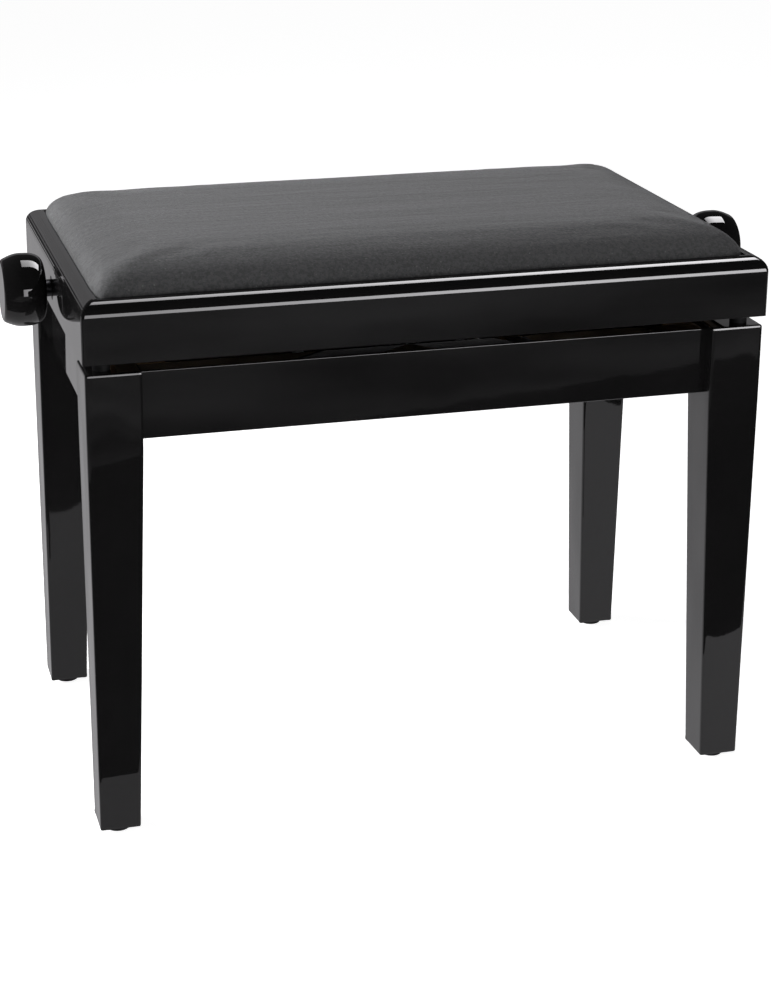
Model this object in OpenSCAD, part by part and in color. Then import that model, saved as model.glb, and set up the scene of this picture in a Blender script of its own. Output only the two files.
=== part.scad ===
// Adjustable piano bench: a lacquered four-legged base, a crowned velvet seat in a rounded frame, and between
// them a steel scissor lift that a through spindle with a knob at each end raises and lowers.
// X runs along the bench, Y from front to back, Z up. The origin is on the floor under the middle of the bench.
// The seat is drawn in its lowest position.

/* [Seat frame] */
// Length of the seat frame
seat_len = 560; // [470:5:760]
// Depth of the seat frame
seat_depth = 330; // [275:5:400]
// Height of the seat frame
seat_rail_h = 49; // [42:1:60]
// Thickness of each seat frame rail
seat_rail_t = 22; // [20:1:28]
// Radius of the rounded top edge of the frame
roundover_r = 12; // [4:1:13]
// Width of the top edge, from the outer face to the cushion recess
top_edge_w = 14; // [14:0.5:16]
// Depth of the recess that holds the cushion board
recess_d = 14; // [11:1:16]
// Gap between the lowered seat frame and the top of the legs
seat_gap = 8; // [6:1:14]

/* [Cushion] */
// Height of the cushion's crown over the top of the frame
crown_h = 22.5; // [12:0.5:35]
// Thickness of the plywood under the foam
board_t = 9; // [6:1:10]
// Thickness of the velvet cover
cover_t = 1.5; // [1:0.5:3]
// Gap round the soft pieces
soft_gap = 0.3; // [0.3:0.1:1]
// Corner radius of the cushion in plan
cushion_corner_r = 8; // [5:1:20]

/* [Base] */
// Height of the leg tops over the floor
base_h = 390; // [320:5:480]
// How far the seat frame reaches past the legs at each end
over_x = 2; // [0:1:10]
// How far the seat frame reaches past the legs at front and back
over_y = 3; // [0:1:10]
// Width of the square top of each leg
leg_w = 44; // [36:1:54]
// How far a leg's two outer faces come in at the foot
outer_taper = 1; // [0:0.5:8]
// How far a leg's two inner faces come in at the foot
inner_taper = 10; // [0:1:12]
// Height of the aprons
apron_h = 55; // [45:1:80]
// Thickness of the aprons
apron_t = 18; // [15:1:22]
// How far the aprons stand back from the legs' outer faces
apron_recess = 12; // [8:1:14]
// How far the aprons stop below the leg tops
apron_drop = 3; // [0:1:6]
// Thickness of the aprons' tenons
tenon_t = 10; // [8:1:11]
// How far a corner block runs along each apron past the leg
block_reach = 38; // [30:1:40]
// Thickness of the panel that closes the underside
panel_t = 3; // [2:0.5:3]

/* [Glides and stop pads] */
// Diameter of the glide under each leg
glide_d = 20; // [14:1:22]
// Height of the glide
glide_h = 5; // [3:1:8]
// Diameter of the glide's nail
nail_d = 2.5; // [2:0.5:4]
// Length of the nail in the leg
nail_len = 16; // [10:1:24]
// Diameter of the rubber stop pads on the leg tops
pad_d = 14; // [8:1:20]

/* [Scissor lift] */
// How far the seat can be raised
lift = 95; // [60:5:110]
// Length of the scissor arms between their end pivots
arm_len = 240; // [220:5:260]
// Width of the scissor arms
arm_w = 20; // [16:1:22]
// Thickness of the scissor arms
arm_t = 4; // [3:0.5:5]
// Diameter of the pivot pins
pin_d = 8; // [6:0.5:10]
// Diameter of the rollers
roller_d = 20; // [16:1:22]
// Width of the rollers
roller_w = 9; // [6:1:10]
// Wall thickness of the steel channels
channel_t = 2; // [1.5:0.5:2.5]
// Depth of the channels
channel_d = 16; // [14:1:18]
// How far the channels reach past the pivot and the roller
channel_over = 28; // [24:1:30]
// Diameter of the tie rods
tie_d = 8; // [6:1:12]
// Distance of a tie rod from its end pivot, along the arm
tie_offset = 40; // [30:1:60]

/* [Spindle and knobs] */
// Diameter of the spindle
spindle_d = 14; // [10:1:16]
// Pitch of its thread
thread_pitch = 3; // [2:0.5:5]
// Depth of its thread
thread_depth = 1.3; // [0.8:0.1:1.5]
// Width of the nut block, along Y
nut_w = 36; // [34:1:44]
// Length of the nut block, along the spindle
nut_len = 30; // [24:1:36]
// Height of the nut block
nut_h = 26; // [24:1:28]
// Diameter of the crossbar that the nut block drives
crossbar_d = 12; // [10:1:14]
// Outer diameter of the bushes in the seat frame
bush_d = 20; // [18:1:22]
// Diameter of the thrust collars and the bushes' flanges
collar_d = 26; // [23:1:28]
// Width of the thrust collars
collar_w = 10; // [8:1:14]
// Gap between the seat frame and each knob
knob_gap = 6; // [5:1:30]
// Length of each knob
knob_len = 35; // [30:1:45]
// Largest diameter of the knobs
knob_d = 60; // [50:1:70]
// Diameter of a knob's flat outer end
knob_end_d = 50; // [40:1:50]
// Diameter of a knob's flat inner end
knob_neck_d = 32; // [26:1:46]

/* [Screws and fits] */
// Diameter of the wood screws' shanks
screw_d = 4; // [3:0.5:5]
// Diameter of the wood screws' heads
screw_head_d = 8; // [6:0.5:9]
// Diameter of the leg bolts
bolt_d = 8; // [6:1:10]
// Wood left between a leg bolt's end and the tenons beside it
bolt_wood = 3; // [2:0.5:5]
// Radial clearance of turning and sliding fits
run_fit = 0.05; // [0.03:0.01:0.1]
// Radial clearance round screws, bolts and tenons
loose_fit = 0.15; // [0.1:0.05:0.3]
// Side clearance between flat pieces that move past each other
side_gap = 0.5; // [0.3:0.1:1]

/* [Hidden] */
fine = 96;
soft_fn = 32;
// How far a cut runs past the face it opens
past = 1;
base_len = seat_len - 2 * over_x;
base_depth = seat_depth - 2 * over_y;
apron_z1 = base_h - apron_drop;
apron_z0 = apron_z1 - apron_h;
seat_z0 = base_h + seat_gap;
seat_z1 = seat_z0 + seat_rail_h;
board_z0 = seat_z1 - recess_d;

// Corner of one leg, and the inner faces of the aprons beside it, as distances from the middle
leg_in_x = base_len / 2 - leg_w;
leg_in_y = base_depth / 2 - leg_w;
apron_in_x = base_len / 2 - apron_recess - apron_t;
apron_in_y = base_depth / 2 - apron_recess - apron_t;
tenon_end_gap = 2;
tenon_len = leg_w - (apron_recess + apron_t / 2 + tenon_t / 2) - tenon_end_gap;
tenon_shoulder = 8;
bolt_grip = (tenon_len + tenon_end_gap - bolt_wood) * sqrt(2) - bolt_d / 2;
panel_rise = 0.5;
panel_side_gap = 0.3;
panel_screw_bite = 10;
panel_screw_in = 12;
block_gap = panel_rise + panel_t;
block_depth = (block_reach - (leg_w - apron_recess - apron_t)) / sqrt(2);
bolt_z = (apron_z0 + apron_z1) / 2;
washer_t = 1.5;
washer_d = 2 * bolt_d;
nut_af = 1.625 * bolt_d;
leg_nut_h = 0.8 * bolt_d;
bolt_end = 4;
pad_in = pad_d / 2 + 8;
foot_middle = (leg_w - inner_taper + outer_taper) / 2;

// Scissor lift. The channels' webs lie on the aprons' inner faces, and everything else lies inward of them.
roller_gap = 0.2;
channel_in = roller_d / 2 + roller_gap;
channel_half = channel_in + channel_t;
channel_lift = 1.8;
board_clear = 3.8;
lower_z = apron_z0 + channel_half + channel_lift;
upper_z = board_z0 - channel_half - board_clear;
rest_rise = upper_z - lower_z;
pivot_x = -arm_len / 2;
slide_x = pivot_x + sqrt(pow(arm_len, 2) - pow(rest_rise, 2));
raised_x = pivot_x + sqrt(pow(arm_len, 2) - pow(rest_rise + lift, 2));
rest_angle = asin(rest_rise / arm_len);
centre_x = (pivot_x + slide_x) / 2;
centre_z = (lower_z + upper_z) / 2;
web_y = apron_in_y - channel_t;
web_gap = 1.5;
roller_y = web_y - web_gap;
roller_pin_y = roller_y + web_gap / 2;
outer_arm_y = apron_in_y - channel_d - side_gap;
inner_arm_y = outer_arm_y - arm_t - side_gap;
pin_r = pin_d / 2;
rivet_in = 0.2;
shoulder_r = pin_r + 2;
clip_r = pin_r + 2.5;
clip_t = 1.5;
clip_gap = 0.2;
channel_x0 = pivot_x - channel_over;
channel_x1 = slide_x + channel_over;
channel_screw_in = 9;
channel_screws = [channel_x0 + channel_screw_in, centre_x, channel_x1 - channel_screw_in];
lower_screw_len = 14;
head_t = 2.2;

// Cushion
cover_gap = 0.5;
cushion_in = top_edge_w + cover_gap;
board_in = cushion_in + cover_t + soft_gap;
cleat_t = (seat_depth / 2 - seat_rail_t) - apron_in_y;
cleat_z0 = seat_z0 + 2;
cleat_h = board_z0 - cleat_z0;
cleat_hole_r = collar_d / 2 + 2;
upper_screw_len = cleat_t + channel_t - 1;
cleat_screw_gap = 12;
cleat_screw_grip = 14;
cleat_screw_z = upper_z - channel_half + 4;
board_screw_bite = 5;
board_screw_y = apron_in_y + cleat_t / 2;

// Spindle
seat_in_x = seat_len / 2 - seat_rail_t;
cleat_end_gap = 30;
cleat_screw_x = [
    -seat_in_x + cleat_end_gap, channel_x0 - cleat_screw_gap,
    channel_x1 + cleat_screw_gap, seat_in_x - cleat_end_gap
];
board_screw_x = [(cleat_screw_x[0] + cleat_screw_x[1]) / 2, (cleat_screw_x[2] + cleat_screw_x[3]) / 2];
flange_t = 3;
knob_x0 = seat_len / 2 + knob_gap;
knob_wall = 8;
knob_belly = 0.46;
knob_fullness = 0.7;
spindle_end = knob_x0 + knob_len - knob_wall;
thread_over = 8;
thread_x0 = raised_x - nut_len / 2 - thread_over;
thread_turns = ceil((slide_x + nut_len / 2 + thread_over - thread_x0) / thread_pitch);
crossbar_socket = 8;
knob_screw_d = 5;
knob_screw_inset = 7;
collar_screw_d = 4;
screw_sunk = 0.5;

lacquer = "#141416";
steel = "#9a9da1";
beech = "#c9a878";
rubber = "#202022";
black_paint = "#1d1d1f";

// Repeats its children, drawn at the front, at the back too
module front_and_back() {
    children();
    mirror([0, 1, 0]) children();
}

// Repeats its children, drawn at the left end, at the right end too
module left_and_right() {
    children();
    mirror([1, 0, 0]) children();
}

// Repeats its children, drawn at the front left corner, at all four corners
module four_corners() {
    left_and_right() front_and_back() children();
}

// A round bar along X, or along Y, that starts at the point where it is placed
module along_x(r, h) {
    rotate([0, 90, 0]) cylinder(r = r, h = h, $fn = fine);
}

module along_y(r, h) {
    rotate([-90, 0, 0]) cylinder(r = r, h = h, $fn = fine);
}

// ---------- base ----------

// Side outline of a leg: square above the aprons' lower edge, tapered below it
module leg_outline() {
    polygon([
        [0, base_h], [leg_w, base_h], [leg_w, apron_z0], [leg_w - inner_taper, glide_h],
        [outer_taper, glide_h], [0, apron_z0]
    ]);
}

// Tenon of a front apron at its left end, with a clearance all round it and at its end
module front_tenon(fit) {
    translate([-leg_in_x - tenon_len - fit,
               -apron_in_y - apron_t / 2 - tenon_t / 2 - fit, apron_z0 + tenon_shoulder - fit])
        cube([tenon_len + fit, tenon_t + 2 * fit, apron_h - 2 * tenon_shoulder + 2 * fit]);
}

// Tenon of a left apron at its front end
module side_tenon(fit) {
    translate([-apron_in_x - apron_t / 2 - tenon_t / 2 - fit,
               -leg_in_y - tenon_len - fit, apron_z0 + tenon_shoulder - fit])
        cube([tenon_t + 2 * fit, tenon_len + fit, apron_h - 2 * tenon_shoulder + 2 * fit]);
}

// Diagonal bolt at the front left corner: it starts in the leg and ends inside the base
module corner_axis(r, from, to) {
    translate([-leg_in_x, -leg_in_y, bolt_z]) rotate([0, 90, 45])
        translate([0, 0, from]) cylinder(r = r, h = to - from, $fn = fine);
}

module front_left_leg() {
    color(lacquer) difference() {
        intersection() {
            translate([-base_len / 2, base_depth / 2, 0]) rotate([90, 0, 0])
                linear_extrude(height = base_depth) leg_outline();
            translate([-base_len / 2, -base_depth / 2, 0]) rotate([90, 0, 90])
                linear_extrude(height = base_len) leg_outline();
        }
        front_tenon(loose_fit);
        side_tenon(loose_fit);
        corner_axis(bolt_d / 2 + loose_fit, -bolt_grip - past, past);
        glide_axis() translate([0, 0, glide_h - past])
            cylinder(r = nail_d / 2 + loose_fit, h = nail_len + 2 * past, $fn = fine);
    }
}

// Puts its children under the middle of the front left foot
module glide_axis() {
    translate([-base_len / 2 + foot_middle, -base_depth / 2 + foot_middle, 0]) children();
}

module leg_front_left() { front_left_leg(); }
module leg_front_right() { mirror([1, 0, 0]) front_left_leg(); }
module leg_back_left() { mirror([0, 1, 0]) front_left_leg(); }
module leg_back_right() { mirror([1, 0, 0]) mirror([0, 1, 0]) front_left_leg(); }

module front_apron() {
    color(lacquer) difference() {
        union() {
            translate([-leg_in_x, -apron_in_y - apron_t, apron_z0]) cube([2 * leg_in_x, apron_t, apron_h]);
            left_and_right() front_tenon(0);
        }
        for (x = channel_screws) translate([x, -apron_in_y - lower_screw_len, lower_z])
            along_y(screw_d / 2 + loose_fit, lower_screw_len + past);
    }
}

module left_apron() {
    color(lacquer) union() {
        translate([-apron_in_x - apron_t, -leg_in_y, apron_z0]) cube([apron_t, 2 * leg_in_y, apron_h]);
        front_and_back() side_tenon(0);
    }
}

module apron_front() { front_apron(); }
module apron_back() { mirror([0, 1, 0]) front_apron(); }
module apron_left() { left_apron(); }
module apron_right() { mirror([1, 0, 0]) left_apron(); }

module corner_blocks() {
    color(beech) four_corners() difference() {
        translate([0, 0, apron_z0 + block_gap]) linear_extrude(height = apron_h - 2 * block_gap)
            polygon([
                [-leg_in_x, -apron_in_y], [-leg_in_x + block_reach, -apron_in_y],
                [-apron_in_x, -leg_in_y + block_reach], [-apron_in_x, -leg_in_y], [-leg_in_x, -leg_in_y]
            ]);
        corner_axis(bolt_d / 2 + loose_fit, -bolt_d, block_reach);
        panel_screw_axis() cylinder(r = screw_d / 2 + loose_fit, h = block_gap + panel_screw_bite, $fn = fine);
    }
}

// Puts its children under the front left corner block, at the height of the aprons' lower edge
module panel_screw_axis() {
    translate([-apron_in_x + panel_screw_in, -leg_in_y + panel_screw_in, apron_z0]) children();
}

// Thin board under the lift, between the side aprons and clear of the channels
module base_panel() {
    half_x = apron_in_x - panel_side_gap;
    half_y = apron_in_y - channel_d - side_gap;
    color(black_paint) difference() {
        translate([-half_x, -half_y, apron_z0 + panel_rise]) cube([2 * half_x, 2 * half_y, panel_t]);
        four_corners() panel_screw_axis()
            cylinder(r = screw_d / 2 + loose_fit, h = block_gap + past, $fn = fine);
    }
}

module panel_screws() {
    color(steel) four_corners() panel_screw_axis() {
        translate([0, 0, panel_rise]) cylinder(d = screw_d, h = panel_t + panel_screw_bite, $fn = fine);
        translate([0, 0, panel_rise - head_t]) cylinder(d = screw_head_d, h = head_t, $fn = fine);
    }
}

module leg_bolts() {
    color(steel) four_corners()
        corner_axis(bolt_d / 2, -bolt_grip, block_depth + washer_t + leg_nut_h + bolt_end);
}

module leg_washers() {
    color(steel) four_corners() difference() {
        corner_axis(washer_d / 2, block_depth, block_depth + washer_t);
        corner_axis(bolt_d / 2 + loose_fit, block_depth - past, block_depth + washer_t + past);
    }
}

module leg_nuts() {
    nut_r = nut_af / sqrt(3);
    color(steel) four_corners() difference() {
        translate([-leg_in_x, -leg_in_y, bolt_z]) rotate([0, 90, 45])
            translate([0, 0, block_depth + washer_t]) cylinder(r = nut_r, h = leg_nut_h, $fn = 6);
        corner_axis(bolt_d / 2 + loose_fit, block_depth, block_depth + washer_t + leg_nut_h + past);
    }
}

module glides() {
    color(rubber) four_corners() glide_axis() difference() {
        cylinder(d = glide_d, h = glide_h, $fn = fine);
        translate([0, 0, glide_h / 2]) cylinder(r = nail_d / 2 + loose_fit, h = glide_h, $fn = fine);
    }
}

module glide_nails() {
    color(steel) four_corners() glide_axis()
        translate([0, 0, glide_h / 2]) cylinder(d = nail_d, h = glide_h / 2 + nail_len, $fn = fine);
}

module stop_pads() {
    color(rubber) four_corners()
        translate([-base_len / 2 + pad_in, -base_depth / 2 + pad_in, base_h])
            cylinder(d = pad_d, h = seat_gap - soft_gap, $fn = fine);
}

// ---------- scissor lift ----------

// Steel channel at the front, open to the inside, at the height of its pivot
module channel(z) {
    color(black_paint) difference() {
        translate([channel_x0, -apron_in_y, z - channel_half])
            cube([channel_x1 - channel_x0, channel_d, 2 * channel_half]);
        translate([channel_x0 - past, -web_y, z - channel_in])
            cube([channel_x1 - channel_x0 + 2 * past, channel_d, 2 * channel_in]);
        for (x = channel_screws) translate([x, -apron_in_y - past, z])
            along_y(screw_d / 2 + loose_fit, channel_t + 2 * past);
        translate([pivot_x, -apron_in_y - past, z]) along_y(pin_r + run_fit, channel_t + 2 * past);
    }
}

module lower_channel_front() { channel(lower_z); }
module lower_channel_back() { mirror([0, 1, 0]) channel(lower_z); }
module upper_channel_front() { channel(upper_z); }
module upper_channel_back() { mirror([0, 1, 0]) channel(upper_z); }

// Wood screws that hold the channels, with their heads inside the channel
module channel_screw_set(z, len) {
    color(steel) front_and_back() for (x = channel_screws) translate([x, -web_y, z]) {
        translate([0, -len, 0]) along_y(screw_d / 2, len);
        along_y(screw_head_d / 2, head_t);
    }
}

module lower_channel_screws() { channel_screw_set(lower_z, lower_screw_len); }
module upper_channel_screws() { channel_screw_set(upper_z, upper_screw_len); }

// Fixed pivot pins: riveted in the channel's web, with a shoulder, a journal for one arm and a clip
module pivot_pin_set(z, arm_y) {
    color(steel) front_and_back() translate([pivot_x, 0, z]) {
        translate([0, -apron_in_y + rivet_in, 0])
            along_y(pin_r, apron_in_y - rivet_in - arm_y + arm_t + clip_gap + clip_t);
        translate([0, -web_y, 0]) along_y(shoulder_r, web_y - arm_y - clip_gap);
        translate([0, -arm_y + arm_t + clip_gap, 0]) along_y(clip_r, clip_t);
    }
}

module lower_pivot_pins() { pivot_pin_set(lower_z, outer_arm_y); }
module upper_pivot_pins() { pivot_pin_set(upper_z, inner_arm_y); }

// A flat arm that starts at its left pivot and rises by angle, its outer face at arm_y from the middle
module arm(z, angle, arm_y) {
    color(black_paint) translate([pivot_x, -arm_y, z]) rotate([0, -angle, 0]) rotate([-90, 0, 0]) difference() {
        union() {
            translate([0, -arm_w / 2, 0]) cube([arm_len, arm_w, arm_t]);
            for (x = [0, arm_len]) translate([x, 0, 0]) cylinder(d = arm_w, h = arm_t, $fn = fine);
        }
        for (x = [0, arm_len / 2, arm_len]) translate([x, 0, -past])
            cylinder(r = pin_r + run_fit, h = arm_t + 2 * past, $fn = fine);
    }
}

module outer_arm_front() { arm(lower_z, rest_angle, outer_arm_y); }
module outer_arm_back() { mirror([0, 1, 0]) outer_arm_front(); }
module inner_arm_front() { arm(upper_z, -rest_angle, inner_arm_y); }
module inner_arm_back() { mirror([0, 1, 0]) inner_arm_front(); }

// Pins through both arms where they cross, with a head on each side
module centre_pins() {
    color(steel) front_and_back() translate([centre_x, 0, centre_z]) {
        translate([0, -outer_arm_y - clip_gap - clip_t, 0])
            along_y(pin_r, 2 * arm_t + side_gap + 2 * clip_gap + 2 * clip_t);
        translate([0, -outer_arm_y - clip_gap - clip_t, 0]) along_y(clip_r, clip_t);
        translate([0, -inner_arm_y + arm_t + clip_gap, 0]) along_y(clip_r, clip_t);
    }
}

// Tie rods between the front and the back arm of a pair
module outer_tie_rod() {
    reach = outer_arm_y - arm_t;
    x = pivot_x + tie_offset * cos(rest_angle);
    color(steel) translate([x, -reach, lower_z + tie_offset * sin(rest_angle)])
        along_y(tie_d / 2, 2 * reach);
}

module inner_tie_rod() {
    reach = inner_arm_y - arm_t;
    x = slide_x - tie_offset * cos(rest_angle);
    color(steel) translate([x, -reach, lower_z + tie_offset * sin(rest_angle)])
        along_y(tie_d / 2, 2 * reach);
}

// Axles of the lower rollers, headed inside the inner arms
module lower_roller_pins() {
    color(steel) front_and_back() translate([slide_x, 0, lower_z]) {
        translate([0, -roller_pin_y, 0]) along_y(pin_r, roller_pin_y - inner_arm_y + arm_t);
        translate([0, -inner_arm_y + arm_t, 0]) along_y(clip_r, clip_t);
    }
}

module roller_set(z) {
    color("#e6e3da") front_and_back() translate([slide_x, -roller_y, z]) difference() {
        along_y(roller_d / 2, roller_w);
        translate([0, -past, 0]) along_y(pin_r + run_fit, roller_w + 2 * past);
    }
}

module lower_rollers() { roller_set(lower_z); }
module upper_rollers() { roller_set(upper_z); }

// Two halves of the crossbar, each turned down to a journal for the outer arm and the roller
module crossbars() {
    shoulder_y = outer_arm_y - arm_t - clip_gap;
    inner_end = nut_w / 2 - crossbar_socket;
    color(steel) front_and_back() translate([slide_x, 0, upper_z]) {
        translate([0, -shoulder_y, 0]) along_y(crossbar_d / 2, shoulder_y - inner_end);
        translate([0, -roller_pin_y, 0]) along_y(pin_r, roller_pin_y - shoulder_y);
    }
}

module spindle_nut() {
    color("#b08d4a") translate([slide_x, 0, upper_z]) difference() {
        translate([-nut_len / 2, -nut_w / 2, -nut_h / 2]) cube([nut_len, nut_w, nut_h]);
        translate([-nut_len / 2 - past, 0, 0]) along_x(spindle_d / 2 + run_fit, nut_len + 2 * past);
        front_and_back() translate([0, -nut_w / 2 - past, 0])
            along_y(crossbar_d / 2 + run_fit, crossbar_socket + past);
    }
}

// ---------- seat ----------

// Mitred rail with a rounded top edge and the cushion recess. Its outer face looks along -Y at y = 0.
module seat_rail(len) {
    difference() {
        linear_extrude(height = seat_rail_h) polygon([
            [-len / 2, 0], [len / 2, 0],
            [len / 2 - seat_rail_t, seat_rail_t], [-len / 2 + seat_rail_t, seat_rail_t]
        ]);
        translate([-len / 2, top_edge_w, seat_rail_h - recess_d]) cube([len, seat_rail_t, recess_d + past]);
        difference() {
            translate([-len / 2 - past, -past, seat_rail_h - roundover_r])
                cube([len + 2 * past, roundover_r + past, roundover_r + past]);
            translate([-len / 2 - 2 * past, roundover_r, seat_rail_h - roundover_r])
                along_x(roundover_r, len + 4 * past);
        }
    }
}

module long_rail() {
    color(lacquer) translate([0, -seat_depth / 2, seat_z0]) difference() {
        seat_rail(seat_len);
        for (x = cleat_screw_x) translate([x, seat_rail_t - cleat_screw_grip, cleat_screw_z - seat_z0])
            along_y(screw_d / 2 + loose_fit, cleat_screw_grip + past);
    }
}

module short_rail() {
    color(lacquer) translate([-seat_len / 2, 0, seat_z0]) rotate([0, 0, -90]) difference() {
        seat_rail(seat_depth);
        translate([0, -past, upper_z - seat_z0]) along_y(bush_d / 2 + run_fit, seat_rail_t + 2 * past);
    }
}

module seat_rail_front() { long_rail(); }
module seat_rail_back() { mirror([0, 1, 0]) long_rail(); }
module seat_rail_left() { short_rail(); }
module seat_rail_right() { mirror([1, 0, 0]) short_rail(); }

// Cleats inside the frame: they carry the cushion board and, at front and back, the upper channels
module front_cleat() {
    color(beech) difference() {
        translate([-seat_in_x, -apron_in_y - cleat_t, cleat_z0]) cube([2 * seat_in_x, cleat_t, cleat_h]);
        for (x = channel_screws) translate([x, -apron_in_y - cleat_t - past, upper_z])
            along_y(screw_d / 2 + loose_fit, cleat_t + 2 * past);
        for (x = cleat_screw_x) translate([x, -apron_in_y - cleat_t - past, cleat_screw_z])
            along_y(screw_d / 2 + loose_fit, cleat_t + 2 * past);
        for (x = board_screw_x) translate([x, -board_screw_y, cleat_z0 - past])
            cylinder(r = screw_d / 2 + loose_fit, h = cleat_h + 2 * past, $fn = fine);
    }
}

module left_cleat() {
    color(beech) difference() {
        translate([-seat_in_x, -apron_in_y, cleat_z0]) cube([cleat_t, 2 * apron_in_y, cleat_h]);
        translate([-seat_in_x - past, 0, upper_z]) along_x(cleat_hole_r, cleat_t + 2 * past);
    }
}

module cleat_front() { front_cleat(); }
module cleat_back() { mirror([0, 1, 0]) front_cleat(); }
module cleat_left() { left_cleat(); }
module cleat_right() { mirror([1, 0, 0]) left_cleat(); }

module cleat_screws() {
    color(steel) front_and_back() for (x = cleat_screw_x) translate([x, -apron_in_y, cleat_screw_z]) {
        translate([0, -cleat_t - cleat_screw_grip, 0]) along_y(screw_d / 2, cleat_t + cleat_screw_grip);
        along_y(screw_head_d / 2, head_t);
    }
}

module seat_board() {
    half_x = seat_len / 2 - board_in;
    half_y = seat_depth / 2 - board_in;
    r = cushion_corner_r;
    color(beech) difference() {
        union() {
            translate([-half_x + r, -half_y, board_z0]) cube([2 * (half_x - r), 2 * half_y, board_t]);
            translate([-half_x, -half_y + r, board_z0]) cube([2 * half_x, 2 * (half_y - r), board_t]);
            four_corners() translate([-half_x + r, -half_y + r, board_z0])
                cylinder(r = r, h = board_t, $fn = fine);
        }
        front_and_back() for (x = board_screw_x) translate([x, -board_screw_y, board_z0 - past])
            cylinder(r = screw_d / 2 + loose_fit, h = board_screw_bite + 2 * past, $fn = fine);
    }
}

module board_screws() {
    color(steel) front_and_back() for (x = board_screw_x) translate([x, -board_screw_y, 0]) {
        translate([0, 0, cleat_z0]) cylinder(d = screw_d, h = cleat_h + board_screw_bite, $fn = fine);
        translate([0, 0, cleat_z0 - head_t]) cylinder(d = screw_head_d, h = head_t, $fn = fine);
    }
}

// Crowned pillow: each step is how far it is drawn in from the edge and its share of the crown's height
crown_steps = [[0, 0.1], [3, 0.3], [9, 0.52], [20, 0.74], [42, 0.9], [75, 0.98], [110, 1]];

module crown(edge, z0, top) {
    half_x = seat_len / 2 - edge - cushion_corner_r;
    half_y = seat_depth / 2 - edge - cushion_corner_r;
    hull() {
        for (sx = [-1, 1], sy = [-1, 1]) {
            translate([sx * half_x, sy * half_y, z0]) cylinder(r = cushion_corner_r, h = 1, $fn = soft_fn);
            for (step = crown_steps)
                translate([sx * (half_x - step[0]), sy * (half_y - step[0]), seat_z1 + top * step[1] - 1])
                    cylinder(r = cushion_corner_r, h = 1, $fn = soft_fn);
        }
    }
}

module foam_pad() {
    color("#d8cfa0") crown(board_in, board_z0 + board_t, crown_h - cover_t - soft_gap);
}

module velvet_cover() {
    color("#4c4d50") difference() {
        crown(cushion_in, board_z0 + soft_gap, crown_h);
        crown(cushion_in + cover_t, board_z0 - past, crown_h - cover_t);
    }
}

// ---------- spindle ----------

module spindle_bushes() {
    color(rubber) left_and_right() difference() {
        union() {
            translate([-seat_len / 2, 0, upper_z]) along_x(bush_d / 2, seat_rail_t);
            translate([-seat_in_x, 0, upper_z]) along_x(collar_d / 2, flange_t);
        }
        translate([-seat_len / 2 - past, 0, upper_z])
            along_x(spindle_d / 2 + run_fit, seat_rail_t + flange_t + 2 * past);
    }
}

// Outline of the threaded stretch, from its left end to its right end
function thread_points() = [
    for (i = [0 : thread_turns - 1]) each [
        [spindle_d / 2, thread_x0 + (i + 0.2) * thread_pitch],
        [spindle_d / 2 - thread_depth, thread_x0 + (i + 0.4) * thread_pitch],
        [spindle_d / 2 - thread_depth, thread_x0 + (i + 0.6) * thread_pitch],
        [spindle_d / 2, thread_x0 + (i + 0.8) * thread_pitch]
    ]
];

module spindle() {
    color(steel) translate([0, 0, upper_z]) rotate([0, 90, 0]) rotate_extrude($fn = fine) polygon(concat(
        [[0, -spindle_end], [spindle_d / 2, -spindle_end]], thread_points(),
        [[spindle_d / 2, spindle_end], [0, spindle_end]]
    ));
}

module thrust_collars() {
    color(steel) left_and_right() translate([-seat_in_x + flange_t + soft_gap, 0, upper_z]) difference() {
        along_x(collar_d / 2, collar_w);
        translate([-past, 0, 0]) along_x(spindle_d / 2 + run_fit, collar_w + 2 * past);
        translate([collar_w / 2, 0, -collar_d])
            cylinder(r = collar_screw_d / 2 + run_fit, h = collar_d, $fn = fine);
    }
}

module collar_screws() {
    screw_len = (collar_d - spindle_d) / 2 - screw_sunk;
    color("#3a3b3d") left_and_right()
        translate([-seat_in_x + flange_t + soft_gap + collar_w / 2, 0, upper_z - spindle_d / 2 - screw_len])
            cylinder(d = collar_screw_d, h = screw_len, $fn = fine);
}

// Knob at the left end: a barrel with a flat outer end, fullest near its middle, rounded in to the neck
module knob() {
    belly = knob_belly * knob_len;
    neck_r = knob_neck_d / 2;
    end_r = knob_end_d / 2;
    belly_r = knob_d / 2;
    outer_arc = [for (a = [0 : 10 : 90]) [end_r + (belly_r - end_r) * sin(a), knob_len - belly * a / 90]];
    inner_arc = [for (a = [5 : 5 : 90])
        [neck_r + (belly_r - neck_r) * pow(cos(a), knob_fullness),
         (knob_len - belly) * (1 - pow(sin(a), knob_fullness))]];
    color(lacquer) translate([-knob_x0, 0, upper_z]) rotate([0, -90, 0]) difference() {
        rotate_extrude($fn = fine) polygon(concat([[0, 0], [0, knob_len]], outer_arc, inner_arc));
        translate([0, 0, -past])
            cylinder(r = spindle_d / 2 + run_fit, h = spindle_end - knob_x0 + past + run_fit, $fn = fine);
        translate([0, 0, knob_screw_inset]) rotate([0, -90, 0])
            cylinder(r = knob_screw_d / 2 + run_fit, h = knob_d, $fn = fine);
    }
}

module knob_left() { knob(); }
module knob_right() { mirror([1, 0, 0]) knob(); }

module knob_screws() {
    screw_len = knob_neck_d / 2 - spindle_d / 2;
    color("#3a3b3d") left_and_right()
        translate([-knob_x0 - knob_screw_inset, 0, upper_z - spindle_d / 2 - screw_len])
            cylinder(d = knob_screw_d, h = screw_len, $fn = fine);
}

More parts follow.
